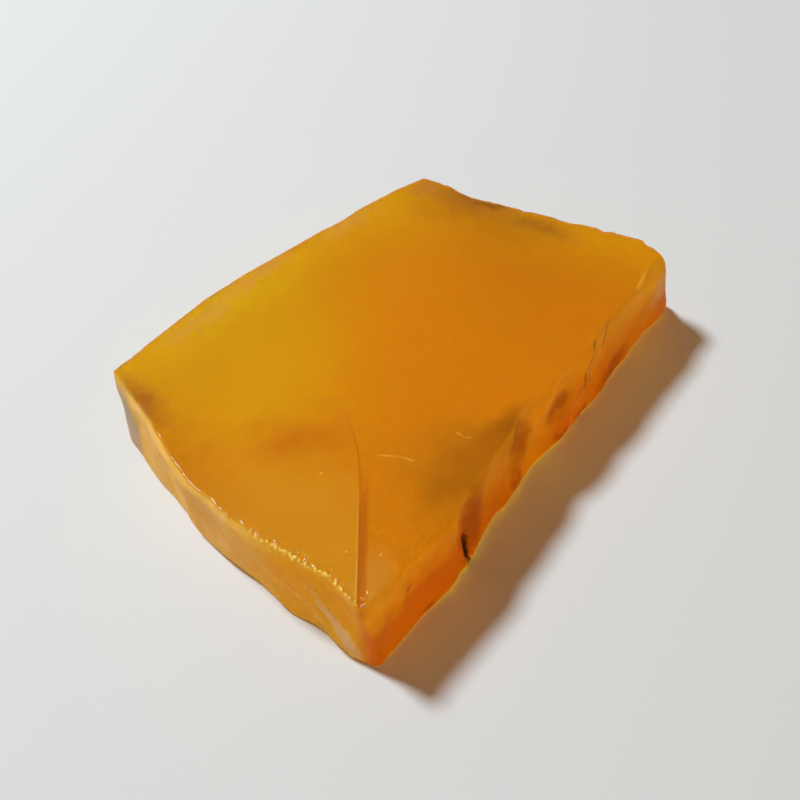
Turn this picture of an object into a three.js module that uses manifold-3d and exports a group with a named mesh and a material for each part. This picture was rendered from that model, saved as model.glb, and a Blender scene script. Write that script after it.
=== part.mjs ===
// A rough yellow sapphire: one flat, four-sided slab of stone, sawn on its two faces and broken on its
// four walls. Millimetres, +Z up, the lower sawn face on z = 0 and the origin under the middle of the outline.
//
// The slab starts as a plain body between its upper rim and its foot. Every flake that broke off a wall or
// an edge left a shallow shell-shaped scar, and each scar is a flattened sphere taken off that body.

import * as THREE from "three";
import { mergeVertices } from "three/addons/utils/BufferGeometryUtils.js";
import Module from "manifold-3d";

const wasm = await Module();
wasm.setup();

// ---- driving dimensions -------------------------------------------------------------------------

const THICKNESS = 9; // between the two sawn faces
const SCAR_FACETS = [17, 18]; // round the sphere that takes a scar off a wall, and from pole to pole
const CHIP_FACETS = [8, 11]; // the same for a chip off an edge
const EDGE_REACH = 0.35; // how far an edge chip's middle lies outside the edge it took away
const SEED = 7;

// The four walls, counter-clockwise seen from above, each from one corner to the next. A station is the
// point of the upper rim, then the point of the foot under it: [rim x, rim y, foot x, foot y].
const WALLS = {
  right: [
    [-2.6, -28.2, -1.5, -28.3],
    [0.6, -24.3, 2.0, -24.0],
    [4.0, -20.2, 5.4, -20.1],
    [5.8, -17.0, 7.3, -16.6],
    [8.0, -13.8, 9.4, -12.9],
    [10.6, -9.6, 12.1, -8.4],
    [13.4, -6.4, 15.4, -4.9],
    [16.4, -2.4, 18.5, -0.8],
    [19.4, 1.6, 21.9, 4.0],
    [22.2, 5.4, 24.9, 8.4],
  ],
  back: [
    [25.2, 8.8, 27.4, 11.3],
    [25.6, 10.3, 27.8, 12.8],
    [23.9, 12.9, 25.2, 14.2],
    [21.1, 14.1, 21.4, 14.9],
    [17.8, 15.4, 17.8, 16.0],
    [13.8, 16.9, 13.9, 17.2],
    [10.6, 18.1, 10.8, 18.4],
    [7.3, 19.8, 7.6, 20.0],
    [4.6, 21.5, 4.4, 21.6],
  ],
  left: [
    [2.4, 22.5, 2.2, 22.5],
    [-0.5, 20.6, -0.4, 20.1],
    [-4.9, 17.0, -4.6, 16.4],
    [-10.0, 12.4, -9.4, 11.8],
    [-14.7, 8.3, -14.1, 7.6],
    [-18.0, 5.1, -17.3, 4.6],
    [-21.4, 0.8, -20.7, 0.3],
  ],
  front: [
    [-25.4, -4.2, -25.5, -5],
    [-23.7, -6.9, -23.9, -7.1],
    [-21.6, -10.1, -21.9, -10.1],
    [-19.2, -14.1, -18.7, -14.0],
    [-17.0, -17.2, -16.2, -17.0],
    [-14.1, -19.7, -13.4, -19.3],
    [-11.3, -21.9, -10.9, -22],
    [-8.4, -23.6, -8.3, -24.1],
    [-5.5, -26, -5.5, -26.5],
  ],
};

// How far below the rim each wall stands fullest, and how far it stands out there from a straight wall.
const SHOULDER = {
  right: { drop: 1.7, out: 0.5 },
  back: { drop: 1.2, out: 0.3 },
  left: { drop: 0.9, out: 0.15 },
  front: { drop: 0.9, out: 0.08 },
};

// Scars on the walls: where along the wall (0 to 1), the height of the middle, how wide, how tall and how
// deep the scar is, and how far its long side leans over, in degrees.
const WALL_SCARS = {
  right: [
    { along: 0.03, height: 2.2, wide: 3.5, tall: 5, deep: 0.3, lean: 0 },
    { along: 0.13, height: 4.2, wide: 9.5, tall: 9.5, deep: 0.55, lean: -20 },
    { along: 0.12, height: 7.2, wide: 3.6, tall: 2.8, deep: 0.5, lean: -30 },
    { along: 0.265, height: 4.8, wide: 3.6, tall: 9.4, deep: 0.85, lean: -6 },
    { along: 0.36, height: 4.2, wide: 6, tall: 10, deep: 0.6, lean: -14 },
    { along: 0.455, height: 5.8, wide: 3.6, tall: 9.5, deep: 1, lean: -28 },
    { along: 0.53, height: 3.4, wide: 5.6, tall: 7.5, deep: 0.55, lean: -30 },
    { along: 0.61, height: 6.4, wide: 4.8, tall: 6.5, deep: 0.8, lean: -40 },
    { along: 0.66, height: 2.6, wide: 4.2, tall: 5.5, deep: 0.45, lean: -30 },
    { along: 0.735, height: 5, wide: 4.6, tall: 10, deep: 0.55, lean: -24 },
    { along: 0.83, height: 4.2, wide: 7.4, tall: 9.5, deep: 0.5, lean: -15 },
    { along: 0.93, height: 3.2, wide: 6, tall: 7, deep: 0.3, lean: -5 },
  ],
  back: [
    { along: 0.06, height: 4.6, wide: 4.6, tall: 6.4, deep: 0.25, lean: 25 },
    { along: 0.24, height: 4.6, wide: 8.4, tall: 9, deep: 0.9, lean: 8 },
    { along: 0.42, height: 5.4, wide: 6.4, tall: 8, deep: 1, lean: -18 },
    { along: 0.6, height: 4, wide: 9.5, tall: 8, deep: 1, lean: 14 },
    { along: 0.78, height: 5.6, wide: 6.6, tall: 8.6, deep: 0.85, lean: -10 },
    { along: 0.93, height: 3.4, wide: 6, tall: 7.4, deep: 0.65, lean: 20 },
  ],
  left: [
    { along: 0.08, height: 4.2, wide: 8, tall: 9.5, deep: 0.6, lean: -12 },
    { along: 0.27, height: 5.4, wide: 9.5, tall: 8, deep: 0.75, lean: 16 },
    { along: 0.46, height: 3.6, wide: 11, tall: 9, deep: 0.85, lean: -10 },
    { along: 0.66, height: 5, wide: 9, tall: 8, deep: 0.8, lean: 22 },
    { along: 0.83, height: 3.6, wide: 8.5, tall: 8.5, deep: 0.65, lean: -20 },
    { along: 0.95, height: 5.8, wide: 4.4, tall: 7, deep: 0.5, lean: 10 },
  ],
  front: [
    { along: 0.05, height: 3.6, wide: 6, tall: 8, deep: 0.25, lean: 14 },
    { along: 0.17, height: 4.8, wide: 6.4, tall: 9.5, deep: 0.45, lean: -14 },
    { along: 0.31, height: 3.8, wide: 7.4, tall: 8.5, deep: 0.55, lean: 18 },
    { along: 0.47, height: 4.8, wide: 7.2, tall: 9.5, deep: 0.65, lean: -20 },
    { along: 0.62, height: 3, wide: 7, tall: 7.5, deep: 0.55, lean: 24 },
    { along: 0.77, height: 2.4, wide: 4.2, tall: 8, deep: 0.6, lean: 48 },
    { along: 0.915, height: 6, wide: 5.4, tall: 12.5, deep: 0.6, lean: 36 },
  ],
};

// Scars where the upper face meets a corner: the middle, the way the scar faces, and its size.
const CORNER_SCARS = [
  { middle: [-1.1, -27.2, 8.8], faces: [0.5, -0.3, 0.8], wide: 3.4, tall: 2.6, deep: 0.5, lean: 10 },
  { middle: [24.6, 7.5, 8.4], faces: [0.8, -0.4, 0.55], wide: 6.4, tall: 4.8, deep: 0.7, lean: 15 },
  { middle: [25.8, 12, 8.6], faces: [0.6, 0.6, 0.6], wide: 3.6, tall: 3.4, deep: 0.5, lean: 0 },
];

// Chips along the upper rim and the foot: the stretch of wall, how many, and the smallest and largest width.
const EDGE_CHIPS = [
  { wall: "front", from: 0.5, to: 0.98, top: true, count: 12, small: 0.6, large: 1.3 },
  { wall: "front", from: 0.06, to: 0.5, top: true, count: 5, small: 0.5, large: 1.1 },
  { wall: "right", from: 0.05, to: 0.9, top: true, count: 8, small: 0.5, large: 1.3 },
  { wall: "back", from: 0.12, to: 0.96, top: true, count: 8, small: 0.5, large: 1.3 },
  { wall: "left", from: 0.04, to: 0.96, top: true, count: 5, small: 0.4, large: 0.8 },
  { wall: "front", from: 0.04, to: 0.96, top: false, count: 7, small: 0.9, large: 2.2 },
  { wall: "right", from: 0.04, to: 0.96, top: false, count: 7, small: 0.9, large: 2.4 },
  { wall: "back", from: 0.05, to: 0.95, top: false, count: 6, small: 0.9, large: 2.4 },
  { wall: "left", from: 0.05, to: 0.95, top: false, count: 6, small: 0.9, large: 2.4 },
];

// The one open fracture: a curved line over the upper face that starts as a hair and widens to the front tip.
const FRACTURE = {
  line: [
    [-7.2, -4.7],
    [-4.6, -9.5],
    [-3.7, -12.5],
    [-3.3, -15.8],
    [-3.3, -21],
    [-3.2, -28.6],
  ],
  widest: 0.65,
  deepest: 0.3,
  steps: 18,
};

// ---- helpers ------------------------------------------------------------------------------------

// A repeatable stream of numbers between 0 and 1.
function numbersFrom(seed) {
  let state = seed;
  return () => {
    state = (state * 1664525 + 1013904223) % 4294967296;
    return state / 4294967296;
  };
}

function solidOf(geometry) {
  const bare = geometry.clone();
  for (const name of ["normal", "uv"]) bare.deleteAttribute(name);
  const merged = mergeVertices(bare, 1e-4);
  return new wasm.Manifold(
    new wasm.Mesh({
      numProp: 3,
      vertProperties: new Float32Array(merged.attributes.position.array),
      triVerts: new Uint32Array(merged.index.array),
    }),
  );
}

function geometryOf(solid) {
  const mesh = solid.getMesh();
  const positions = new Float32Array(mesh.numVert * 3);
  for (let i = 0; i < mesh.numVert; i++) {
    positions.set(mesh.vertProperties.subarray(i * mesh.numProp, i * mesh.numProp + 3), i * 3);
  }
  const indexed = new THREE.BufferGeometry();
  indexed.setAttribute("position", new THREE.BufferAttribute(positions, 3));
  indexed.setIndex(new THREE.BufferAttribute(new Uint32Array(mesh.triVerts), 1));
  const faceted = indexed.toNonIndexed();
  faceted.computeVertexNormals();
  return faceted;
}

// A closed skin over rings of equally many points. The lids close the first and the last ring, as triangles
// that each name three places in the ring, counter-clockwise seen from the last ring's side.
function skinOver(rings, firstLid, lastLid) {
  const around = rings[0].length;
  const positions = rings.flat().flatMap((p) => [p.x, p.y, p.z]);
  const index = [];
  for (let ring = 0; ring + 1 < rings.length; ring++) {
    for (let i = 0; i < around; i++) {
      const a = ring * around + i;
      const b = ring * around + ((i + 1) % around);
      index.push(a, b, b + around, a, b + around, a + around);
    }
  }
  const last = (rings.length - 1) * around;
  for (const [a, b, c] of firstLid) index.push(a, c, b);
  for (const [a, b, c] of lastLid) index.push(last + a, last + b, last + c);
  const geometry = new THREE.BufferGeometry();
  geometry.setAttribute("position", new THREE.Float32BufferAttribute(positions, 3));
  geometry.setIndex(index);
  return geometry;
}

// ---- the ruled body -----------------------------------------------------------------------------

const ORDER = ["right", "back", "left", "front"];

function lidOf(ring) {
  const outline = ring.map((p) => new THREE.Vector2(p.x, p.y));
  return THREE.ShapeUtils.triangulateShape(outline, []);
}

function slabBody() {
  const places = ORDER.flatMap((name) =>
    WALLS[name].map(([rimX, rimY, footX, footY], i) => {
      const rim = new THREE.Vector3(rimX, rimY, THICKNESS);
      const foot = new THREE.Vector3(footX, footY, 0);
      const { drop, out } = SHOULDER[name];
      const shoulder = rim.clone().lerp(foot, drop / THICKNESS);
      if (i > 0) shoulder.addScaledVector(outwardAt(name, i), out);
      return { rim, foot, shoulder };
    }),
  );
  const foot = places.map((place) => place.foot);
  const rim = places.map((place) => place.rim);
  return skinOver([foot, places.map((place) => place.shoulder), rim], lidOf(foot), lidOf(rim));
}

// The level direction that faces away from the stone at one of a wall's stations.
function outwardAt(name, i) {
  const stations = stationsOf(name);
  const before = stations[Math.max(i - 1, 0)];
  const after = stations[Math.min(i + 1, stations.length - 1)];
  return new THREE.Vector3(after[1] - before[1], before[0] - after[0], 0).normalize();
}

// A wall's stations and the corner that ends it.
function stationsOf(name) {
  const next = ORDER[(ORDER.indexOf(name) + 1) % ORDER.length];
  return [...WALLS[name], WALLS[next][0]];
}

// The point of a wall at a share of its length and at a height, with the wall's own three directions there.
function placeOn(name, along, height) {
  const stations = stationsOf(name);
  const rims = stations.map(([x, y]) => new THREE.Vector3(x, y, THICKNESS));
  const lengths = rims.slice(1).map((p, i) => p.distanceTo(rims[i]));
  let left = along * lengths.reduce((sum, length) => sum + length, 0);
  let i = 0;
  while (i < lengths.length - 1 && left > lengths[i]) left -= lengths[i++];
  const share = left / lengths[i];
  const mix = (k) => THREE.MathUtils.lerp(stations[i][k], stations[i + 1][k], share);
  const rim = new THREE.Vector3(mix(0), mix(1), THICKNESS);
  const foot = new THREE.Vector3(mix(2), mix(3), 0);
  const point = foot.clone().lerp(rim, height / THICKNESS);
  const forward = rims[i + 1].clone().sub(rims[i]).normalize();
  const up = rim.clone().sub(foot).normalize();
  const out = forward.clone().cross(up).normalize();
  return { point, forward, out, up: out.clone().cross(forward) };
}

// ---- scars --------------------------------------------------------------------------------------

// A flattened sphere that leaves a scar of this width, height and depth in a face that looks towards out.
function scarBody({ point, forward, out, up }, { wide, tall, deep, lean }, facets) {
  const radius = Math.max(wide, tall) * 0.75;
  const share = Math.sqrt(1 - (1 - deep / radius) ** 2);
  const geometry = new THREE.SphereGeometry(1, ...facets);
  geometry.scale(wide / 2 / share, radius, tall / 2 / share);
  geometry.rotateY(THREE.MathUtils.degToRad(lean));
  const place = new THREE.Matrix4().makeBasis(forward, out, up.clone().negate());
  place.setPosition(point.clone().addScaledVector(out, radius - deep));
  return geometry.applyMatrix4(place);
}

function wallScars() {
  return ORDER.flatMap((name) =>
    WALL_SCARS[name].map((scar) => scarBody(placeOn(name, scar.along, scar.height), scar, SCAR_FACETS)),
  );
}

function cornerScars() {
  return CORNER_SCARS.map((scar) => {
    const out = new THREE.Vector3(...scar.faces).normalize();
    const forward = new THREE.Vector3(0, 0, 1).cross(out).normalize();
    const place = { point: new THREE.Vector3(...scar.middle), forward, out, up: out.clone().cross(forward) };
    return scarBody(place, scar, SCAR_FACETS);
  });
}

// A chip sits on an edge, so it faces half outwards and half up, or half down at the foot.
function edgeChips() {
  const next = numbersFrom(SEED);
  const chips = [];
  for (const run of EDGE_CHIPS) {
    for (let i = 0; i < run.count; i++) {
      const along = THREE.MathUtils.lerp(run.from, run.to, (i + 0.2 + 0.6 * next()) / run.count);
      const wide = THREE.MathUtils.lerp(run.small, run.large, next() ** 1.6);
      const tall = wide * (0.5 + 0.5 * next());
      const edge = placeOn(run.wall, along, run.top ? THICKNESS : 0);
      const slant = THREE.MathUtils.degToRad((run.top ? 1 : -1) * (30 + 25 * next()));
      edge.out.applyAxisAngle(edge.forward, slant);
      edge.up.applyAxisAngle(edge.forward, slant);
      edge.point.addScaledVector(edge.out, EDGE_REACH * wide * 0.2);
      const chip = { wide, tall, deep: 0.24 * tall + 0.1, lean: 30 * next() - 15 };
      chips.push(scarBody(edge, chip, CHIP_FACETS));
    }
  }
  return chips;
}

// A wedge that follows the fracture's line. Its left side stands steep and its right side runs out flat.
function fractureWedge() {
  const points = FRACTURE.line.map(([x, y]) => new THREE.Vector3(x, y, 0));
  const curve = new THREE.CatmullRomCurve3(points);
  const rings = [];
  for (let i = 0; i <= FRACTURE.steps; i++) {
    const share = i / FRACTURE.steps;
    const at = curve.getPointAt(share);
    const ahead = curve.getTangentAt(share);
    const right = new THREE.Vector3(-ahead.y, ahead.x, 0).normalize();
    const open = 0.12 + 0.88 * share ** 1.3;
    const wide = FRACTURE.widest * open;
    const deep = FRACTURE.deepest * open;
    const corner = (across, z) => at.clone().addScaledVector(right, across).setZ(THICKNESS + z);
    const steepSide = [corner(-0.1 * wide, 0.4), corner(0.12 * wide, -deep)];
    const flatSide = [corner(wide, 0), corner(1.1 * wide, 0.4)];
    rings.push([...steepSide, ...flatSide]);
  }
  const lid = [
    [0, 1, 2],
    [0, 2, 3],
  ];
  return skinOver(rings, lid, lid);
}

// ---- the stone ----------------------------------------------------------------------------------

function roughSapphire() {
  let stone = solidOf(slabBody());
  for (const scar of [...wallScars(), ...cornerScars(), ...edgeChips()]) {
    stone = stone.subtract(solidOf(scar));
  }
  return geometryOf(stone.subtract(solidOf(fractureWedge())));
}

const stoneMaterial = new THREE.MeshStandardMaterial({ color: 0xd07a08, roughness: 0.3, metalness: 0 });

const stone = new THREE.Mesh(roughSapphire(), stoneMaterial);
stone.name = "stone";
stone.geometry.computeBoundingBox();
const middle = stone.geometry.boundingBox.getCenter(new THREE.Vector3());
stone.position.set(-middle.x, -middle.y, 0);

const part = new THREE.Group();
part.add(stone);

export default part;
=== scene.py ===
"""A rough yellow sapphire: a flat slab of see-through stone, sawn on its two faces and broken on its walls.

The solid stone comes from the CAD part. This script gives it the fine surface of sawn and broken corundum,
its colour and its see-through body, and sets it on a pale floor under a soft window light.
Lengths are in millimetres until they are handed to Blender, which wants metres.
"""

import math

import bmesh
import bpy
import numpy as np
from mathutils import Matrix, Vector, noise


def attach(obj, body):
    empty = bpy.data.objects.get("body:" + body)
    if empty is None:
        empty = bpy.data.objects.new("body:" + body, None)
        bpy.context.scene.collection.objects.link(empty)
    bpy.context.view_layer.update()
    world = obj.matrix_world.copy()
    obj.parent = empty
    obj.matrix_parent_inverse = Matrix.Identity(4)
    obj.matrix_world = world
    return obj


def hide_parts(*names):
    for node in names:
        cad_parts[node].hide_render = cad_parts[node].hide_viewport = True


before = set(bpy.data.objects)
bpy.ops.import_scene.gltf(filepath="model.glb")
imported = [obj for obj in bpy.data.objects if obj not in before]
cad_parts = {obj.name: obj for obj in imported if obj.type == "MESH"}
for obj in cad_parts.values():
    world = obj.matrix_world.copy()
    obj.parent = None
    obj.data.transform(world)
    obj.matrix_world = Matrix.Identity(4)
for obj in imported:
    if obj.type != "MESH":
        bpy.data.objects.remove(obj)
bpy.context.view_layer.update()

noise.seed_set(7)  # every run gives the same stone

MM = 0.001
THICKNESS = 9.0  # between the two sawn faces
GRAIN = 0.165  # the spacing of the surface mesh on the broken walls
MOST_TRIANGLES = 190_000


def linear(hex_colour):
    """An sRGB hex colour as the linear colour that a shader wants."""
    values = [int(hex_colour[i : i + 2], 16) / 255 for i in (0, 2, 4)]
    return [v / 12.92 if v <= 0.04045 else ((v + 0.055) / 1.055) ** 2.4 for v in values] + [1.0]


def node_in(tree, kind, settings=None, **inputs):
    """Adds one node with its settings. An input goes by its name, or by its number as _0, and takes a value
    or a link."""
    made = tree.nodes.new("ShaderNode" + kind)
    for name, value in (settings or {}).items():
        setattr(made, name, value)
    for name, value in inputs.items():
        socket = made.inputs[int(name[1:])] if name[0] == "_" else made.inputs[name.replace("_", " ")]
        if isinstance(value, bpy.types.NodeSocket):
            tree.links.new(value, socket)
        else:
            socket.default_value = value
    return made


# ---- masks over the points of a mesh, from 0 to 1 ------------------------------------------------------


def even_step(values, low, high):
    """0 at low and 1 at high, with soft ends."""
    share = np.clip((values - low) / (high - low), 0, 1)
    return share * share * (3 - 2 * share)


def egg(points, middle, reach, turn=0):
    """1 in the middle of an egg-shaped spot and 0 at its reach. It is turned about the upright axis."""
    c = math.cos(math.radians(turn))
    s = math.sin(math.radians(turn))
    x, y, z = (points - middle).T
    away = np.stack([(c * x + s * y) / reach[0], (c * y - s * x) / reach[1], z / reach[2]])
    return np.clip(1 - np.linalg.norm(away, axis=0), 0, 1)


def near_line(points, line, half_width, through=(0, 0, 0)):
    """1 along a line through some points, and 0 from twice its half width on. How far a point lies from the
    line in the direction called through doesn't count."""
    through = np.array(through)
    seen = points - np.outer(points @ through, through)
    corners = [np.array(p) - (np.array(p) @ through) * through for p in line]
    mask = np.zeros(len(points))
    for start, end in zip(corners, corners[1:]):
        run = end - start
        share = np.clip((seen - start) @ run / (run @ run), 0, 1)
        away = np.linalg.norm(seen - start - share[:, None] * run, axis=1)
        mask = np.maximum(mask, np.clip(2 - away / half_width, 0, 1))
    return mask


def worn(values, ends, times):
    """Evens out values over the surface. Each time, a point takes the mean of itself and its neighbours."""
    a, b = ends
    size = len(values)
    count = np.bincount(a, minlength=size) + np.bincount(b, minlength=size) + 1.0
    columns = []
    for column in values.reshape(size, -1).T:
        for _ in range(times):
            column = column + np.bincount(a, column[b], size) + np.bincount(b, column[a], size)
            column = column / count
        columns.append(column)
    return np.stack(columns, axis=1).reshape(values.shape)


def points_and_normals(mesh):
    points = np.empty(len(mesh.vertices) * 3)
    normals = np.empty(len(mesh.vertices) * 3)
    mesh.vertices.foreach_get("co", points)
    mesh.vertex_normals.foreach_get("vector", normals)
    return points.reshape(-1, 3), normals.reshape(-1, 3)


def edge_ends(mesh):
    ends = np.empty(len(mesh.edges) * 2, dtype=int)
    mesh.edges.foreach_get("vertices", ends)
    return ends.reshape(-1, 2).T


# ---- the stone's surface -------------------------------------------------------------------------------

# Corundum doesn't cleave. It breaks in shell-shaped flakes, here taller than they are wide.
LARGE_FLAKE = (2.5, 2.5, 4.6)
LARGE_FLAKE_DEPTH = 0.12
SMALL_FLAKE = (1.1, 1.1, 1.6)
SMALL_FLAKE_DEPTH = 0.05
FLAKE_MIDDLE = 0.35  # the middle of a flake's hollow lies this share of its depth below the plain wall
FLAKE_BEND = 3.1  # the edges of the flakes wander in waves of this length
FLAKE_BEND_REACH = 0.9
SMOOTHLY_FLAKED = 0.4  # the depth of the flakes on the quieter walls, as a share of the depths above
HACKLY = 0.75  # how much more it is on the most broken places of the right wall
CRUMB = 0.42  # the flakes that broke away along the front rim
CRUMBLED_DEPTH = 0.6  # how far down from the rim they broke away
CRUMB_TILT = 0.14
CRUMB_LOSS = 0.06
CRUMB_EDGE = 0.05
GRIT = 0.35  # the tooth of a broken wall is finer than the mesh, so it is drawn as coarse as this
GRIT_HEIGHT = 0.02

# How many times the walls are evened out, and so how round their ridges get.
WALL_WEAR = 20
RIGHT_WALL_WEAR = 45
FRONT_WALL_WEAR = 50
FLAKE_WEAR = 5

# The fracture shows in the upper face as a line that runs straight from the pointed corner and then bends
# to the left. The solid has a groove along its open part, deeper than it should be.
FRACTURE_X = -4.4
FRACTURE_BENDS_FROM = -13.0
FRACTURE_BEND = 0.03
GROOVE_Y = (-24.2, -5.0)
GROOVE_MIDDLE = 0.3  # to the right of the line
GROOVE_HALF_WIDTH = 0.8
GROOVE_DEPTH = 0.6
GROOVE_FILLED = 0.5  # so this share of its depth is filled again

# Each direction points out of its wall. A pair of numbers says how far out the wall begins, and from where
# on it is meant in full.
OUT_OF_RIGHT_WALL = (0.8, -0.6, 0.0)
RIGHT_WALL = (10.6, 12.6)
OUT_OF_FRONT_WALL = (-0.69, -0.72, 0.0)
WORN_FRONT_WALL = (18.8, 20.4)
PALE_FRONT_WALL = (18.5, 20.0)
LOW_PART = (0.6, 5.5)  # the same for the lower part of the right wall, from the upper face down
TIP = (-4.5, -25.0)
SHARP_TIP = (0.5, 4.0)  # no added wear nearer to the pointed corner than this, and full wear from that on
WAVERING = 1.3  # the edges of what is drawn on the walls wander in waves of this length
FRAYING = 0.4  # and those of the cracks also in waves of this one

# An open crack down the right wall, hair cracks, and a long pale splinter face by the pointed corner,
# whose paleness is partly a painted highlight.
FISSURE = [(4.3, -14.9, 3.5), (4.4, -15.2, 2.2), (4.6, -15.4, 1.4), (5.1, -15.4, 0.0)]
FISSURE_HALF_WIDTH = 0.2
FISSURE_DEPTH = 0.4
HAIR_CRACKS = [
    [(15.4, 2.7, 9.0), (16.4, 2.4, 8.8), (16.5, 1.7, 8.3), (16.0, 0.7, 7.4), (15.7, 0.2, 6.3)],
    [(15.7, 0.2, 6.3), (16.1, 1.4, 3.4)],
    [(18.1, 4.9, 9.0), (17.6, 4.0, 8.4), (17.6, 4.1, 6.3)],
]
SPLINTER_FACE = [(-8.8, -21.3, 7.9), (-7.3, -22.4, 5.2), (-5.8, -23.6, 3.3), (-4.5, -24.6, 0.9)]

# Egg-shaped spots on the walls, each with its middle, its reach and its turn in degrees: where the colour
# lies deeper, partly from dark inclusions and partly as painted shade on the right wall, where the cut
# corner is splintered and gets a painted highlight, and where the left corner is crushed.
STAINS_AND_SHADE = [
    ((4.9, -14.0, 4.8), (2.3, 2.4, 5.4), 0),
    ((9.2, -7.0, 6.2), (2.0, 2.2, 4.6), 0),
    ((9.2, -8.4, 2.6), (1.2, 1.6, 2.4), 0),
    ((13.1, -2.0, 4.9), (1.1, 2.6, 2.1), -42),
    ((13.8, -2.5, 1.4), (1.0, 1.7, 1.2), -42),
    ((15.9, 0.5, 0.9), (0.9, 1.6, 1.2), -42),
    ((-0.6, -21.1, 5.7), (0.9, 0.9, 1.2), 0),
    ((1.8, -20.6, 1.0), (2.0, 1.6, 1.0), 50),
    ((19.4, 5.8, 1.6), (4.5, 2.6, 2.0), 50),
]
# A pale facet on the right-back corner: splintered stone, with a painted highlight.
SPLINTERED_AND_LIT_CORNER = ((24.2, 12.2, 5.8), (1.8, 2.2, 3.4), 0)
CRUSHED_CORNER = ((-25.9, -4.2, 4.5), (2.0, 3.2, 7), 0)


def scallops(p, size, depth):
    """Shell-shaped hollows side by side with sharp ridges between them."""
    nearest = noise.voronoi(Vector((p.x / size[0], p.y / size[1], p.z / size[2])))[0][0]
    return depth * (nearest * nearest - FLAKE_MIDDLE)


def hackly_share(p):
    """0.6 all along the right wall, up to 1 where it stands out, and 0 on the other walls."""
    outside = (p.x + 3.7) * 0.8 - (p.y + 25.3) * 0.6
    return min(1, max(0, outside / 3 + 0.6))


def flaking(p):
    """How far the broken surface stands out at a point."""
    rough = SMOOTHLY_FLAKED + HACKLY * hackly_share(p)
    bent = p + noise.noise_vector(p / FLAKE_BEND) * FLAKE_BEND_REACH
    large = scallops(bent, LARGE_FLAKE, LARGE_FLAKE_DEPTH * rough)
    elsewhere = Vector((5, 2, 8))  # the small flakes take another part of the pattern than the large ones
    small = scallops(bent + elsewhere, SMALL_FLAKE, SMALL_FLAKE_DEPTH) * rough
    return large + small


def rim_crumbs(p):
    """Crumbling along the front part of the upper rim, where grit and small flakes broke away."""
    near = max(0, 1 - (THICKNESS - p.z) / CRUMBLED_DEPTH)
    front = min(1, max(0, (-15 - p.y) / 4))
    nearest, places = noise.voronoi(p / CRUMB)
    tilt = noise.cell_vector(places[0] * 7)
    facet = CRUMB_TILT * tilt.dot(p / CRUMB - places[0]) - CRUMB_LOSS + CRUMB_EDGE * nearest[0]
    return near * front * facet


def in_fracture(points):
    """1 in the open part of the fracture in the upper face."""
    x, y, z = points.T
    across = x - FRACTURE_X + FRACTURE_BEND * np.maximum(0, y - FRACTURE_BENDS_FROM) ** 2
    along = (y > GROOVE_Y[0]) * (y < GROOVE_Y[1])
    inside = abs(across - GROOVE_MIDDLE) < GROOVE_HALF_WIDTH
    return inside * (z > THICKNESS - GROOVE_DEPTH) * along * 1.0


def broken_and_sawn_surface(solid):
    """A finer copy of the solid stone. It is worked on in millimetres and ends up in metres again."""
    stone = bpy.data.objects.new("rough_sapphire", solid.data.copy())
    bpy.context.scene.collection.objects.link(stone)
    stone.data.materials.clear()
    welded = bmesh.new()
    welded.from_mesh(stone.data)
    bmesh.ops.remove_doubles(welded, verts=welded.verts, dist=0.0001 * MM)
    welded.to_mesh(stone.data)
    welded.free()
    stone.data.transform(Matrix.Scale(1 / MM, 4))
    bpy.context.view_layer.objects.active = stone
    stone.select_set(True)
    even = stone.modifiers.new("even grain", "REMESH")
    even.mode = "VOXEL"
    even.voxel_size = GRAIN
    bpy.ops.object.modifier_apply(modifier=even.name)
    roughen(stone.data)
    thin_out_the_sawn_faces(stone)
    mark_the_surface(stone.data)
    stone.data.transform(Matrix.Scale(MM, 4))
    stone.data.shade_smooth()
    return stone


def roughen(mesh):
    """The groove is filled in part and the ridges are rounded. Then come flakes, the fissure, crumbs and
    grit."""
    points, normals = points_and_normals(mesh)
    ends = edge_ends(mesh)
    fracture = in_fracture(points)
    points[:, 2] += GROOVE_FILLED * fracture * (THICKNESS - points[:, 2])
    steep = np.clip((1 - abs(normals[:, 2])) * 1.6, 0, 1) * (1 - fracture)
    beside = worn(steep, ends, 15) * (1 - fracture)
    walls = np.nonzero(beside > 0.01)[0]
    on_walls = np.minimum(1, steep[walls, None] * 2)
    on_rims_too = np.minimum(1, beside[walls, None] * 2)
    round_the_ridges(points, ends, walls, on_walls, on_rims_too)
    for i in walls:
        points[i] += normals[i] * steep[i] * flaking(Vector(points[i]))
    opened = near_line(points, FISSURE, FISSURE_HALF_WIDTH, OUT_OF_RIGHT_WALL)
    points -= normals * (FISSURE_DEPTH * opened)[:, None]
    points[walls] += (worn(points, ends, FLAKE_WEAR)[walls] - points[walls]) * on_walls
    for i in walls:
        p = Vector(points[i])
        points[i] += normals[i] * (rim_crumbs(p) + noise.noise(p / GRIT) * GRIT_HEIGHT)
    points[:, 2] = np.clip(points[:, 2], 0, THICKNESS)
    mesh.vertices.foreach_set("co", points.ravel())


def round_the_ridges(points, ends, walls, on_walls, on_rims_too):
    """All walls wear a little. The right and the front wall wear more, and their rims with them, but for the
    pointed corner, which stays sharp."""
    from_tip = even_step(np.hypot(points[:, 0] - TIP[0], points[:, 1] - TIP[1]), *SHARP_TIP)[walls, None]
    right = even_step(points @ OUT_OF_RIGHT_WALL, *RIGHT_WALL)[walls, None] * from_tip
    front = even_step(points @ OUT_OF_FRONT_WALL, *WORN_FRONT_WALL)[walls, None] * (1 - right) * from_tip
    wear = [(WALL_WEAR, on_walls), (RIGHT_WALL_WEAR, on_rims_too * right)]
    wear += [(FRONT_WALL_WEAR, on_rims_too * front)]
    for times, where in wear:
        points[walls] += (worn(points, ends, times)[walls] - points[walls]) * where


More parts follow.
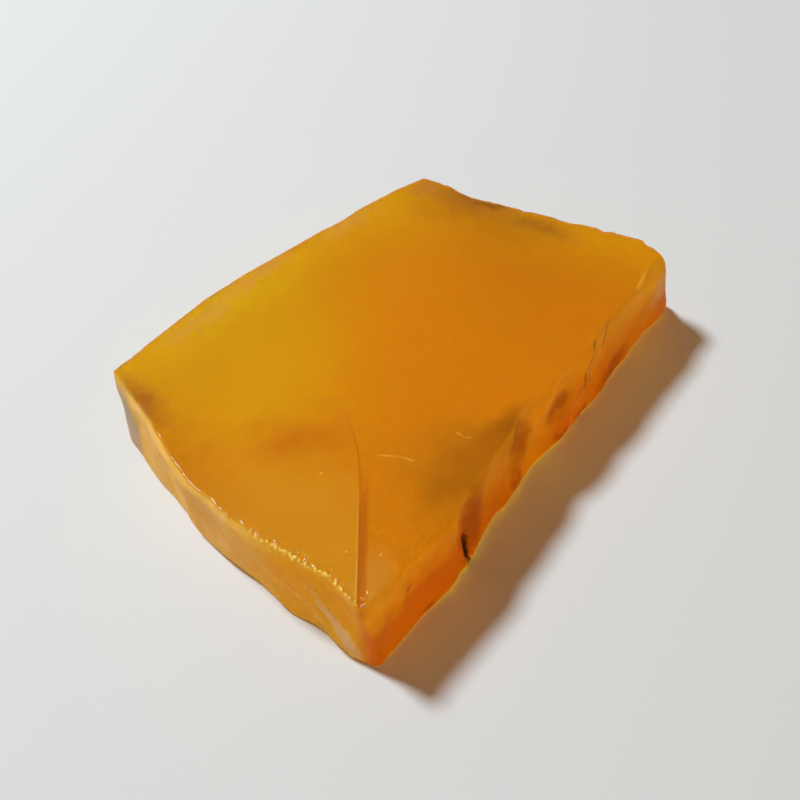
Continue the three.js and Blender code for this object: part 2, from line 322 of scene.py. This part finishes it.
def thin_out_the_sawn_faces(stone):
    """The flat middles of the two sawn faces need few triangles. A narrow band by their rims keeps all."""
    mesh = stone.data
    normals = points_and_normals(mesh)[1]
    kept = worn((abs(normals[:, 2]) < 0.9995).astype(float), edge_ends(mesh), 3) > 0
    middle = stone.vertex_groups.new(name="flat middles")
    middle.add([int(i) for i in np.nonzero(~kept)[0]], 1.0, "REPLACE")
    thin = stone.modifiers.new("thin out", "DECIMATE")
    thin.ratio = min(1, MOST_TRIANGLES / (2 * len(mesh.polygons)))
    thin.vertex_group = middle.name
    bpy.ops.object.modifier_apply(modifier=thin.name)
    stone.vertex_groups.clear()


def mark_the_surface(mesh):
    """Writes what the material needs to know to each point, from 0 to 1.

    broken: on a broken wall, and not on a sawn face. hollow: 0.5 on even ground, more in a hollow and less
    on a ridge. right wall: on the wall to the right of the pointed corner. low: in the lower part of it,
    where its colour deepens as painted shade. foot: at its thin lower edge, where a glow of light is
    painted.
    stained: deeper colour, partly dark inclusions and partly painted shade. cracked: a dark crack. milky:
    splintered, so that it looks pale, and partly a painted highlight where the walls face the light.
    bruised:
    crushed to a greyish white. worn rim: the narrow rounding of the upper rim along the left and the back
    wall. crumbled: the front part of the upper rim, where glints are painted.
    """
    points, normals = points_and_normals(mesh)
    ends = edge_ends(mesh)
    x, y, z = points.T
    broken = np.clip((1 - abs(normals[:, 2])) * 3 - 0.06, 0, 1)
    walls = np.nonzero(broken)[0]
    wavering = stirred(points, walls, WAVERING)
    fraying = stirred(points, walls, FRAYING)
    loose = points + 0.7 * wavering
    hollow = hollows(points, normals, ends) * broken + 0.5 * (1 - broken)
    right = even_step(points @ OUT_OF_RIGHT_WALL, *RIGHT_WALL)
    stained_and_shaded = np.max([even_step(egg(loose, *dark_patch), 0, 0.7) for dark_patch in STAINS_AND_SHADE], axis=0)
    splintered_and_lit_corner = 0.8 * even_step(egg(loose, *SPLINTERED_AND_LIT_CORNER), 0, 0.7)
    milky_and_lit = np.maximum(milky_and_lit_walls(points, wavering, hollow) * (1 - right), splintered_and_lit_corner)
    about_rim = worn(broken, ends, 3)
    about_rim = np.clip(5 * about_rim * (1 - about_rim), 0, 1) * (z > THICKNESS / 2)
    facing_back = even_step(worn(normals, ends, 3)[:, 1], 0.02, 0.12)
    marks = {
        "broken": broken,
        "hollow": hollow,
        "right wall": right * broken,
        "low": even_step(THICKNESS - z + 1.2 * wavering[:, 2], *LOW_PART) * right * broken,
        # painted light: where the glow at the foot of the right wall is painted
        "foot": even_step(z, 1.0, 0.2) * even_step(x, 1.0, 4.0) * even_step(-x, -16.0, -11.0) * right,
        "stained_and_shaded": stained_and_shaded * broken,
        "cracked": cracks(points + 0.16 * wavering + 0.22 * fraying) * right * broken,
        "milky_and_lit": np.clip(milky_and_lit, 0, 1) * broken,
        "bruised": even_step(egg(points, *CRUSHED_CORNER), 0, 0.5) * broken,
        "worn rim": about_rim * (1 - broken) * facing_back,
        "crumbled": about_rim * even_step(-y, 15.5, 18.5) * (1 - right),
    }
    for name, values in marks.items():
        mesh.attributes.new(name, "FLOAT", "POINT").data.foreach_set("value", values)


def stirred(points, walls, size):
    """How a noise with waves of some size would move the points of the walls."""
    moves = np.zeros_like(points)
    for i in walls:
        moves[i] = noise.noise_vector(Vector(points[i]) / size)
    return moves


def hollows(points, normals, ends):
    """0.5 on even ground, 1 where the surface lies 0.06 mm deeper than what is about it, and 0 on ridges."""
    lift = ((worn(points, ends, 12) - points) * worn(normals, ends, 6)).sum(axis=1)
    return np.clip(0.5 + worn(lift, ends, 3) / 0.12, 0, 1)


def cracks(frayed):
    """The fissure, which is widest above its foot, and the hair cracks."""
    drawn = [(FISSURE, 0.1, 1.0), (FISSURE[:3], FISSURE_HALF_WIDTH, 1.0)]
    drawn += [(line, 0.09, 0.7) for line in HAIR_CRACKS]
    masks = [dark * near_line(frayed, line, half, OUT_OF_RIGHT_WALL) for line, half, dark in drawn]
    return np.max(masks, axis=0)


def milky_and_lit_walls(points, wavering, hollow):
    """Splintered stone scatters light: most on the left part of the front wall, on the splinter face by the
    pointed corner and on ridges. The other walls have a little of it. Part of this paleness is a painted
    highlight, where the walls face the window and on ridges."""
    a_little = 0.2
    left_part = 0.14 + 0.66 * even_step(-points[:, 0], 9, 16)
    front = even_step(points @ OUT_OF_FRONT_WALL, *PALE_FRONT_WALL)
    veiled = (left_part * (0.85 + 0.3 * wavering[:, 0]) - a_little) * front + a_little
    swaying = points + 0.28 * wavering
    narrow = near_line(swaying, SPLINTER_FACE, 0.28)
    wide_foot = near_line(swaying, SPLINTER_FACE[2:], 0.45)
    splinter = np.maximum(narrow, wide_foot) * even_step(-points[:, 2], -9.0, -4.0)
    ridges = np.clip((0.42 - hollow) * 3, 0, 1) * 0.4
    return np.max([veiled, splinter, ridges], axis=0)


# ---- its colours ---------------------------------------------------------------------------------------

# The stone's colour grew in zones, but the olive and brown clouds right of the middle are painted shade
# inside the stone. Each is an egg-shaped cloud: its middle, its reach and its turn about the upright axis in
# degrees, the share of it that is evenly dyed, its colour and how strong it is.
GROUND = "ffd000"
ZONES_AND_SHADE = [
    ((-14.0, 1.5, 9), (12.0, 15, 20), -18, 0.35, "ffe900", 1.0),
    ((7.0, 20.5, 9), (13, 6.0, 12), -27, 0.2, "dca400", 0.9),
    ((6.0, 4.0, 9), (8, 6, 12), 20, 0.0, "ffd600", 0.8),
    # painted shade: this cloud and the next two, olive to brown, darken the right part of the face
    ((4.0, -12.0, 9), (8, 8, 12), 0, 0.1, "d8b810", 0.7),
    ((5.0, -11.4, 9), (3.2, 9.5, 12), -36, 0.1, "a07800", 0.65),
    ((8.0, -7.4, 9), (3.0, 4.6, 12), -36, 0.1, "805000", 0.7),
    ((-9.5, -8.6, 9), (6.5, 4, 6), 10, 0.0, "e08c14", 0.8),
]
# The same along the upper rims: darker streaks by the back corner, painted shade where little light comes
# through the rim, and pale worn spots on the left.
RIM_ZONES_AND_SHADE = [
    # painted shade: this streak and the next two darken the back rim
    ((5.2, 21.9, 9), (7.5, 2.6, 3), -30, 0.1, "ac6c30", 0.7),
    ((7.2, 21.6, 9), (4.2, 1.2, 3), -30, 0.2, "74401c", 0.8),
    ((12.6, 17.7, 9), (5.5, 2.0, 3), -24, 0.0, "8c5c18", 0.75),
    ((1.6, 23.6, 9), (2.4, 2.0, 3), 0, 0.0, "e09858", 0.7),
    ((-23.4, -4.6, 9), (5.0, 2.2, 3), -47, 0.0, "b05c2c", 0.85),
    ((-19.2, 5.0, 9), (5.5, 1.4, 3), 46, 0.0, "ffd488", 0.6),
    ((-14.4, 11.2, 9), (6.0, 1.2, 3), 48, 0.0, "fcbc84", 0.65),
    ((-6.2, 18.2, 9), (5.0, 1.4, 3), 45, 0.0, "ffd488", 0.5),
]
# Spots on the upper face, each with its middle, its reach, its turn, the share of it that is even and how
# strong it is: a haze to the left of the fracture, a paler one at the pointed corner, where the fracture is
# open and carries painted shade and a painted highlight, where it goes on as a hair line, and where the
# corner is crumbled and glints are painted.
HAZE = ((-8, -19, 9), (15, 10, 12), (0, 0, -35), 0.3, 1.0)
TIP_HAZE = ((-3.0, -22.5, 9), (2.6, 4.0, 3), (0, 0, 0), 0.2, 0.75)
OPEN_FRACTURE = ((-4.2, -21.5, 9), (6, 10, 2), (0, 0, 0), 0.5, 1.0)
HAIR_FRACTURE = ((-5.4, -12.5, 9), (5, 9, 2), (0, 0, 0), 0.2, 0.6)
# painted glints: the cluster of bright facets at the pointed corner
GLINTING_TIP = ((-3.4, -23.8, 9), (1.8, 1.0, 1.2), (0, 0, 30), 0.0, 1.0)

# Strips along the fracture: painted shade in its groove, a dark hair line, and a painted highlight along
# its left lip. Each edge is where the strip has yet to begin and where it is full, to the right of the
# fracture's line.
GROOVE_EDGES = ((-0.02, 0.06), (0.95, 0.45))
HAIR_EDGES = ((-0.12, 0.0), (0.12, 0.0))
LIT_LIP_EDGES = ((-0.16, -0.08), (0.02, -0.04))

# A painted highlight along the arc where the upper face meets the chipped right-back corner.
CORNER_HIGHLIGHT = [[(22.3, 11.6, 9), (20.5, 7.4, 8.9)]]
CORNER_HIGHLIGHT_HALF_WIDTH = 0.12
SCRATCH_HALF_WIDTH = 0.03
SCRATCHES = [
    [(-3.2, -10.6, 9), (-1.2, -10.7, 9), (0.3, -11.3, 9)],
    [(3.4, -8.0, 9), (4.2, -8.7, 9), (5.0, -8.8, 9)],
    [(12.3, 2.5, 9), (13.3, 2.5, 9)],
]
DASH_HALF_WIDTH = 0.07
DARK_DASHES = [
    [(-1.6, -15.8, 9), (-0.7, -15.2, 9)],
    [(-0.9, -18.3, 9), (0.0, -18.1, 9)],
    [(-7.9, -19.1, 9), (-7.2, -18.6, 9)],
]
# painted glints: pale specks where pinprick pitting in the upper face catches the light
LARGE_PIT_GLINTS = [(-9.3, -3.3), (-7.6, -3.2), (-5.4, -6.9), (-9.6, -13.8)]
LARGE_PIT_REACH = (0.11, 0.11, 0.5)
PIT_RADIUS = 0.055

# How far apart the features of each pattern lie.
DRIFT = 6.25  # slow swings in the edges of the colour zones
DRIFT_REACH = 7
DASH_REACH = 1.6  # the same swings move the dark dashes less
FRAY = 1.25  # quicker ones in the edges of the streaks along the rims
FRAY_REACH = 2.6
FACET = 0.2  # the cells of the painted glints on fresh facets of crumbled stone
PIT_SPACING = 2.5
SAW_WAVE = 2.86  # a saw's feed leaves shallow waves of about 3 mm
TOOTH = 1 / 3  # saw grit leaves a tooth of about 0.1 mm, too fine to show, so it is drawn as coarse as this
SAW_RELIEF = 0.02

TIMES = {"operation": "MULTIPLY"}
TIMES_AND_PLUS = {"operation": "MULTIPLY_ADD"}
PLUS = {"operation": "ADD"}
MINUS = {"operation": "SUBTRACT"}
LARGER = {"operation": "MAXIMUM"}
SOFT_STEP = {"interpolation_type": "SMOOTHSTEP"}


def spot(tree, place, middle, reach, turn=(0, 0, 0), even=0.0, most=1.0):
    """A mask that is at its most in the even middle of an egg-shaped spot and fades to 0 at its reach."""
    turned = tuple(math.radians(v) for v in turn)
    inward = {"vector_type": "TEXTURE"}
    fitted = node_in(tree, "Mapping", inward, Vector=place, Location=middle, Rotation=turned, Scale=reach)
    ball = node_in(tree, "TexGradient", {"gradient_type": "SPHERICAL"}, Vector=fitted.outputs[0])
    fading = ball.outputs["Fac"]
    return node_in(tree, "MapRange", SOFT_STEP, _0=fading, _1=0.0, _2=1.0 - even, _3=0.0, _4=most).outputs[0]


def lines(tree, place, drawn, half_width, most=1.0):
    """One mask over thin lines, each a list of points."""
    mask = 0.0
    for points in drawn:
        for start, end in zip(points, points[1:]):
            run = Vector(end) - Vector(start)
            middle = tuple((Vector(start) + Vector(end)) / 2)
            turn = tuple(math.degrees(v) for v in run.to_track_quat("X", "Z").to_euler())
            reach = (run.length * 0.58, half_width * 2, half_width * 2)
            one = spot(tree, place, middle, reach, turn, 0.5, most)
            mask = node_in(tree, "Math", LARGER, _0=one, _1=mask).outputs[0]
    return mask


def shifted(tree, place, noise_colour, reach):
    """Moves a place by a noise, by up to half a reach, so that what is drawn there gets a natural edge."""
    reaches = (reach, reach, reach)
    back = (-reach / 2, -reach / 2, -reach / 2)
    shift = node_in(tree, "VectorMath", TIMES_AND_PLUS, _0=noise_colour, _1=reaches, _2=back).outputs[0]
    return node_in(tree, "VectorMath", PLUS, _0=place, _1=shift).outputs[0]


def coated(tree, ground, coats):
    """Lays coats over a ground. Each has a mask, a colour, and how well it covers what is below it."""
    for mask, colour, cover in coats:
        if cover < 1:
            mask = node_in(tree, "Math", TIMES, _0=mask, _1=cover).outputs[0]
        ground = node_in(tree, "Mix", {"data_type": "RGBA"}, Factor=mask, _6=ground, _7=colour).outputs[2]
    return ground


def clouds(tree, place, zones):
    """The coats for a list of zones."""
    return [
        (spot(tree, place, middle, reach, (0, 0, turn), even, strength), linear(colour), 1.0)
        for middle, reach, turn, even, colour, strength in zones
    ]


def right_of_fracture(tree, place):
    """How far a point lies to the right of the fracture in the upper face."""
    apart = node_in(tree, "SeparateXYZ", Vector=place)
    bend = node_in(tree, "Math", MINUS, _0=apart.outputs["Y"], _1=FRACTURE_BENDS_FROM).outputs[0]
    bend = node_in(tree, "Math", LARGER, _0=bend, _1=0.0).outputs[0]
    bend = node_in(tree, "Math", {"operation": "POWER"}, _0=bend, _1=2.0).outputs[0]
    bend = node_in(tree, "Math", TIMES_AND_PLUS, _0=bend, _1=FRACTURE_BEND, _2=-FRACTURE_X).outputs[0]
    return node_in(tree, "Math", PLUS, _0=apart.outputs["X"], _1=bend).outputs[0]


def strip(tree, across, edges, along):
    """A mask over a strip that follows the fracture, as far along it as another mask says."""
    for outer, full in edges:
        side = node_in(tree, "MapRange", SOFT_STEP, _0=across, _1=outer, _2=full, _3=0.0, _4=1.0).outputs[0]
        along = node_in(tree, "Math", TIMES, _0=along, _1=side).outputs[0]
    return along


def face_colour(tree, place, drifted, across, haze, opened, worn_rim):
    """The sawn faces: zones, hazes, the fracture, and streaks along the rims, with painted shade in some
    zones, in the fracture's groove and in the streaks by the back corner.
    """
    groove = strip(tree, across, GROOVE_EDGES, opened)
    hair_line = strip(tree, across, HAIR_EDGES, spot(tree, place, *HAIR_FRACTURE))
    fray = node_in(tree, "TexNoise", Vector=place, Scale=1 / FRAY, Detail=2.0).outputs["Color"]
    coats = clouds(tree, drifted, ZONES_AND_SHADE)
    coats += [
        (haze, linear("fcf060"), 0.85),
        (spot(tree, place, *TIP_HAZE), linear("fff4a8"), 1.0),
        # painted shade: the fracture's groove is darker where its face slopes away from the window
        (groove, linear("d07400"), 0.85),
        (hair_line, linear("a05800"), 1.0),
    ]
    coats += clouds(tree, shifted(tree, place, fray, FRAY_REACH), RIM_ZONES_AND_SHADE)
    coats += [(worn_rim, linear("ffb878"), 0.6)]
    return coated(tree, linear(GROUND), coats)


def wall_colour(tree, face, marks):
    """The broken walls. The right wall starts from the colour of the face above it and deepens to orange as
    painted shade; the walls also get painted shade in their hollows and a painted glow at the foot of the
    right wall.
    """
    hollow = marks["hollow"]
    # painted shade: the hollows of the broken walls are coloured deeper
    deep = node_in(tree, "MapRange", SOFT_STEP, _0=hollow, _1=0.5, _2=0.9, _3=0.0, _4=1.0).outputs[0]
    coats = [
        (marks["right wall"], face, 1.0),
        # painted shade: the right wall deepens to orange downwards from the upper face, on the side away
        # from the window
        (marks["low"], linear("d86000"), 1.0),
        (deep, linear("e07000"), 0.4),
        # partly dark inclusions and partly painted shade on the right wall
        (marks["stained_and_shaded"], linear("8c2000"), 0.9),
        # painted light: a yellow glow of light coming through the thin foot of the right wall
        (marks["foot"], linear("ffe800"), 0.9),
        # pale splintered stone, partly a painted highlight where the walls face the window
        (marks["milky_and_lit"], linear("ffc690"), 0.9),
        (marks["bruised"], linear("a49c9c"), 0.85),
    ]
    return coated(tree, linear("ffe440"), coats)


def painted_glints(tree, place, crumbled):
    """Painted glints on fresh facets of crumbled stone along the front part of the upper rim and round the
    pointed corner.
    """
    facets = node_in(tree, "TexVoronoi", Vector=place, Scale=1 / FACET).outputs["Color"]
    bright = node_in(tree, "SeparateColor", Color=facets).outputs[0]
    near = node_in(tree, "Math", LARGER, _0=crumbled, _1=spot(tree, place, *GLINTING_TIP)).outputs[0]
    likely = node_in(tree, "Math", TIMES_AND_PLUS, _0=near, _1=0.4, _2=bright).outputs[0]
    picked = node_in(tree, "MapRange", SOFT_STEP, _0=likely, _1=1.1, _2=1.17, _3=0.0, _4=1.0).outputs[0]
    near = node_in(tree, "MapRange", SOFT_STEP, _0=near, _1=0.0, _2=0.1, _3=0.0, _4=1.0).outputs[0]
    return node_in(tree, "Math", TIMES, _0=near, _1=picked).outputs[0]


def pit_glints(tree, place):
    """Painted glints in the pinprick pitting of the sawn faces: a few larger ones by the fracture, and fine
    ones everywhere.
    """
    cells = node_in(tree, "TexVoronoi", {"voronoi_dimensions": "2D"}, Vector=place, Scale=1 / PIT_SPACING)
    size = node_in(tree, "SeparateColor", Color=cells.outputs["Color"]).outputs[0]
    radius = node_in(tree, "MapRange", _0=size, _1=0.55, _2=1.0, _3=0.0, _4=PIT_RADIUS).outputs[0]
    inside = node_in(tree, "Math", MINUS, _0=radius, _1=cells.outputs["Distance"]).outputs[0]
    mask = node_in(tree, "MapRange", SOFT_STEP, _0=inside, _1=0.0, _2=0.012, _3=0.0, _4=0.5).outputs[0]
    for x, y in LARGE_PIT_GLINTS:
        one = spot(tree, place, (x, y, THICKNESS), LARGE_PIT_REACH, even=0.4, most=0.6)
        mask = node_in(tree, "Math", LARGER, _0=one, _1=mask).outputs[0]
    return mask


def saw_marks(tree, place):
    """The shallow waves and the fine tooth that a saw and its grit leave."""
    waves = node_in(tree, "TexNoise", Vector=place, Scale=1 / SAW_WAVE, Detail=1.0).outputs["Fac"]
    tooth = node_in(tree, "TexNoise", Vector=place, Scale=1 / TOOTH, Detail=0.0).outputs["Fac"]
    height = node_in(tree, "Math", TIMES_AND_PLUS, _0=waves, _1=4.0, _2=tooth).outputs[0]
    return node_in(tree, "Bump", Height=height, Strength=1.0, Distance=SAW_RELIEF * MM).outputs[0]


# What mark_the_surface writes, by name.
MARKS = (
    "broken",
    "hollow",
    "right wall",
    "low",
    "foot",
    "stained_and_shaded",
    "cracked",
    "milky_and_lit",
    "bruised",
    "worn rim",
    "crumbled",
)
CORUNDUM_IOR = 1.77
SAWN_ROUGHNESS = 0.76
BROKEN_ROUGHNESS = 0.85
CLEAREST = 0.95  # the share of light that goes through where nothing is crushed or cracked
MURKIEST = 0.1
POLISH = 0.12  # a trace of a smoother skin on the sawn faces, for their sheen
POLISH_ROUGHNESS = 0.14
DEPTH_OF_COLOUR = 130.0  # how densely the body absorbs, for each metre


def sapphire():
    """Yellow sapphire, sawn and broken. The sawn faces are satin, so light goes in and comes out as a soft
    glow. The broken walls are a little rougher, pale where they were crushed and, as a painted highlight,
    where they face the window, and deeper in their hollows as painted shade. Glints and some shade are
    painted into the colour too."""
    material = bpy.data.materials.new("yellow sapphire, sawn and broken")
    material.use_nodes = True
    tree = material.node_tree
    tree.nodes.clear()
    position = node_in(tree, "NewGeometry").outputs["Position"]
    place = node_in(tree, "VectorMath", {"operation": "SCALE"}, _0=position, Scale=1 / MM).outputs[0]
    marks = {name: node_in(tree, "Attribute", {"attribute_name": name}).outputs["Fac"] for name in MARKS}
    broken = marks["broken"]
    sawn = node_in(tree, "Math", MINUS, _0=1.0, _1=broken).outputs[0]
    drift = node_in(tree, "TexNoise", Vector=place, Scale=1 / DRIFT, Detail=2.0).outputs["Color"]
    drifted = shifted(tree, place, drift, DRIFT_REACH)
    across = right_of_fracture(tree, place)
    opened = spot(tree, place, *OPEN_FRACTURE)
    left = node_in(tree, "MapRange", SOFT_STEP, _0=across, _1=0.15, _2=-0.15, _3=0.0, _4=1.0).outputs[0]
    haze = node_in(tree, "Math", TIMES, _0=spot(tree, drifted, *HAZE), _1=left).outputs[0]
    face = face_colour(tree, place, drifted, across, haze, opened, marks["worn rim"])

    # painted highlight: a thin light line along the left edge of the open fracture
    lit_lip = strip(tree, across, LIT_LIP_EDGES, opened)
    lit_lip = node_in(tree, "Math", TIMES, _0=lit_lip, _1=0.3).outputs[0]
    scratches_and_glints = node_in(tree, "Math", LARGER, _0=pit_glints(tree, place), _1=lit_lip).outputs[0]
    scratches_and_glints = node_in(tree, "Math", TIMES, _0=scratches_and_glints, _1=sawn).outputs[0]
    scratches = lines(tree, place, SCRATCHES, SCRATCH_HALF_WIDTH, 0.8)
    corner_highlight = lines(tree, place, CORNER_HIGHLIGHT, CORNER_HIGHLIGHT_HALF_WIDTH, 0.4)
    dashes = lines(tree, shifted(tree, place, drift, DASH_REACH), DARK_DASHES, DASH_HALF_WIDTH)
    for mark in (scratches, corner_highlight, painted_glints(tree, place, marks["crumbled"])):
        scratches_and_glints = node_in(tree, "Math", LARGER, _0=scratches_and_glints, _1=mark).outputs[0]

    coats = [
        (broken, wall_colour(tree, face, marks), 0.95),
        (marks["cracked"], linear("200800"), 1.0),
        (dashes, linear("904000"), 0.6),
        # real scratches, and painted glints and highlights of the pitting, the crumbled rim, the fracture's
        # lip and the right-back corner
        (scratches_and_glints, linear("fccc68"), 0.7),
    ]
    pale = node_in(tree, "Math", LARGER, _0=marks["milky_and_lit"], _1=scratches_and_glints).outputs[0]
    pale = node_in(tree, "Math", LARGER, _0=pale, _1=marks["bruised"]).outputs[0]
    pale = node_in(tree, "Math", TIMES_AND_PLUS, _0=haze, _1=0.02, _2=pale).outputs[0]
    opaque = node_in(tree, "Math", LARGER, _0=pale, _1=marks["cracked"]).outputs[0]
    clear = node_in(tree, "MapRange", _0=opaque, _1=0.0, _2=1.0, _3=CLEAREST, _4=MURKIEST)
    roughness = node_in(tree, "MapRange", _0=broken, _1=0.0, _2=1.0, _3=SAWN_ROUGHNESS, _4=BROKEN_ROUGHNESS)
    body = node_in(
        tree,
        "BsdfPrincipled",
        Base_Color=coated(tree, face, coats),
        Roughness=roughness.outputs[0],
        IOR=CORUNDUM_IOR,
        Specular_Tint=linear("ffc040"),
        Transmission_Weight=clear.outputs[0],
        Coat_Weight=node_in(tree, "Math", TIMES, _0=sawn, _1=POLISH).outputs[0],
        Coat_Roughness=POLISH_ROUGHNESS,
        Normal=saw_marks(tree, place),
    )
    deep = node_in(tree, "VolumeAbsorption", Color=linear("fff300"), Density=DEPTH_OF_COLOUR)
    node_in(tree, "OutputMaterial", Surface=body.outputs[0], Volume=deep.outputs[0])
    return material


# ---- floor, light and camera ---------------------------------------------------------------------------

FLOOR_HALF_WIDTH = 2000
FLOOR_GAP = 0.02  # the floor lies this far below the stone, so that no two faces share a place
WINDOW_DIRECTION = (-0.51, 0.27, 0.82)
WINDOW_DISTANCE = 600
WINDOW_WIDTH = 110
WINDOW_WATTS = 3.84
ROOM_LIGHT = 0.27
VIEW_CENTRE = (-1.15, 2.9, 0.0)
VIEW_ELEVATION = math.radians(50)
VIEW_DISTANCE = 107


def pale_floor():
    """Matt white paper: it scatters light evenly and has next to no gloss."""
    mesh = bpy.data.meshes.new("floor")
    half = FLOOR_HALF_WIDTH * MM
    corners = [(-half, -half, 0), (half, -half, 0), (half, half, 0), (-half, half, 0)]
    mesh.from_pydata(corners, [], [(0, 1, 2, 3)])
    floor = bpy.data.objects.new("floor", mesh)
    floor.location.z = -FLOOR_GAP * MM
    bpy.context.scene.collection.objects.link(floor)
    paper = bpy.data.materials.new("matt white paper")
    paper.use_nodes = True
    tree = paper.node_tree
    tree.nodes.clear()
    white = linear("dededd")
    sheet = node_in(tree, "BsdfPrincipled", Base_Color=white, Roughness=0.9, Specular_IOR_Level=0.1)
    node_in(tree, "OutputMaterial", Surface=sheet.outputs[0])
    mesh.materials.append(paper)


def aimed(thing, place, target):
    thing.location = place
    thing.rotation_euler = (Vector(target) - Vector(place)).to_track_quat("-Z", "Y").to_euler()


def soft_light():
    """A cool window high on the left, and the warm light of a room all round."""
    window = bpy.data.lights.new("window", "AREA")
    window.shape = "DISK"
    window.size = WINDOW_WIDTH * MM
    window.energy = WINDOW_WATTS
    window.color = linear("e5f6ff")[:3]
    holder = bpy.data.objects.new("window", window)
    bpy.context.scene.collection.objects.link(holder)
    aimed(holder, Vector(WINDOW_DIRECTION).normalized() * WINDOW_DISTANCE * MM, (0, 0, 0))
    room = bpy.data.worlds.new("room")
    room.use_nodes = True
    room.node_tree.nodes["Background"].inputs["Color"].default_value = linear("ffca9a")
    room.node_tree.nodes["Background"].inputs["Strength"].default_value = ROOM_LIGHT
    bpy.context.scene.world = room


def camera():
    lens = bpy.data.cameras.new("camera")
    lens.lens = 50
    lens.sensor_width = 36
    lens.clip_start = 5 * MM
    eye = bpy.data.objects.new("camera", lens)
    bpy.context.scene.collection.objects.link(eye)
    centre = Vector(VIEW_CENTRE) * MM
    back = Vector((0, -math.cos(VIEW_ELEVATION), math.sin(VIEW_ELEVATION)))
    aimed(eye, centre + back * VIEW_DISTANCE * MM, centre)
    bpy.context.scene.camera = eye


def light_paths():
    """Light bounces many times inside a see-through stone before it finds its way out."""
    paths = bpy.context.scene.cycles
    paths.max_bounces = 9
    paths.glossy_bounces = 8
    paths.transmission_bounces = 9
    paths.diffuse_bounces = 4


stone = broken_and_sawn_surface(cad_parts["stone"])
stone.data.materials.append(sapphire())
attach(stone, "root")
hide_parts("stone")

pale_floor()
soft_light()
camera()
light_paths()
bpy.context.scene.view_settings.view_transform = "Standard"
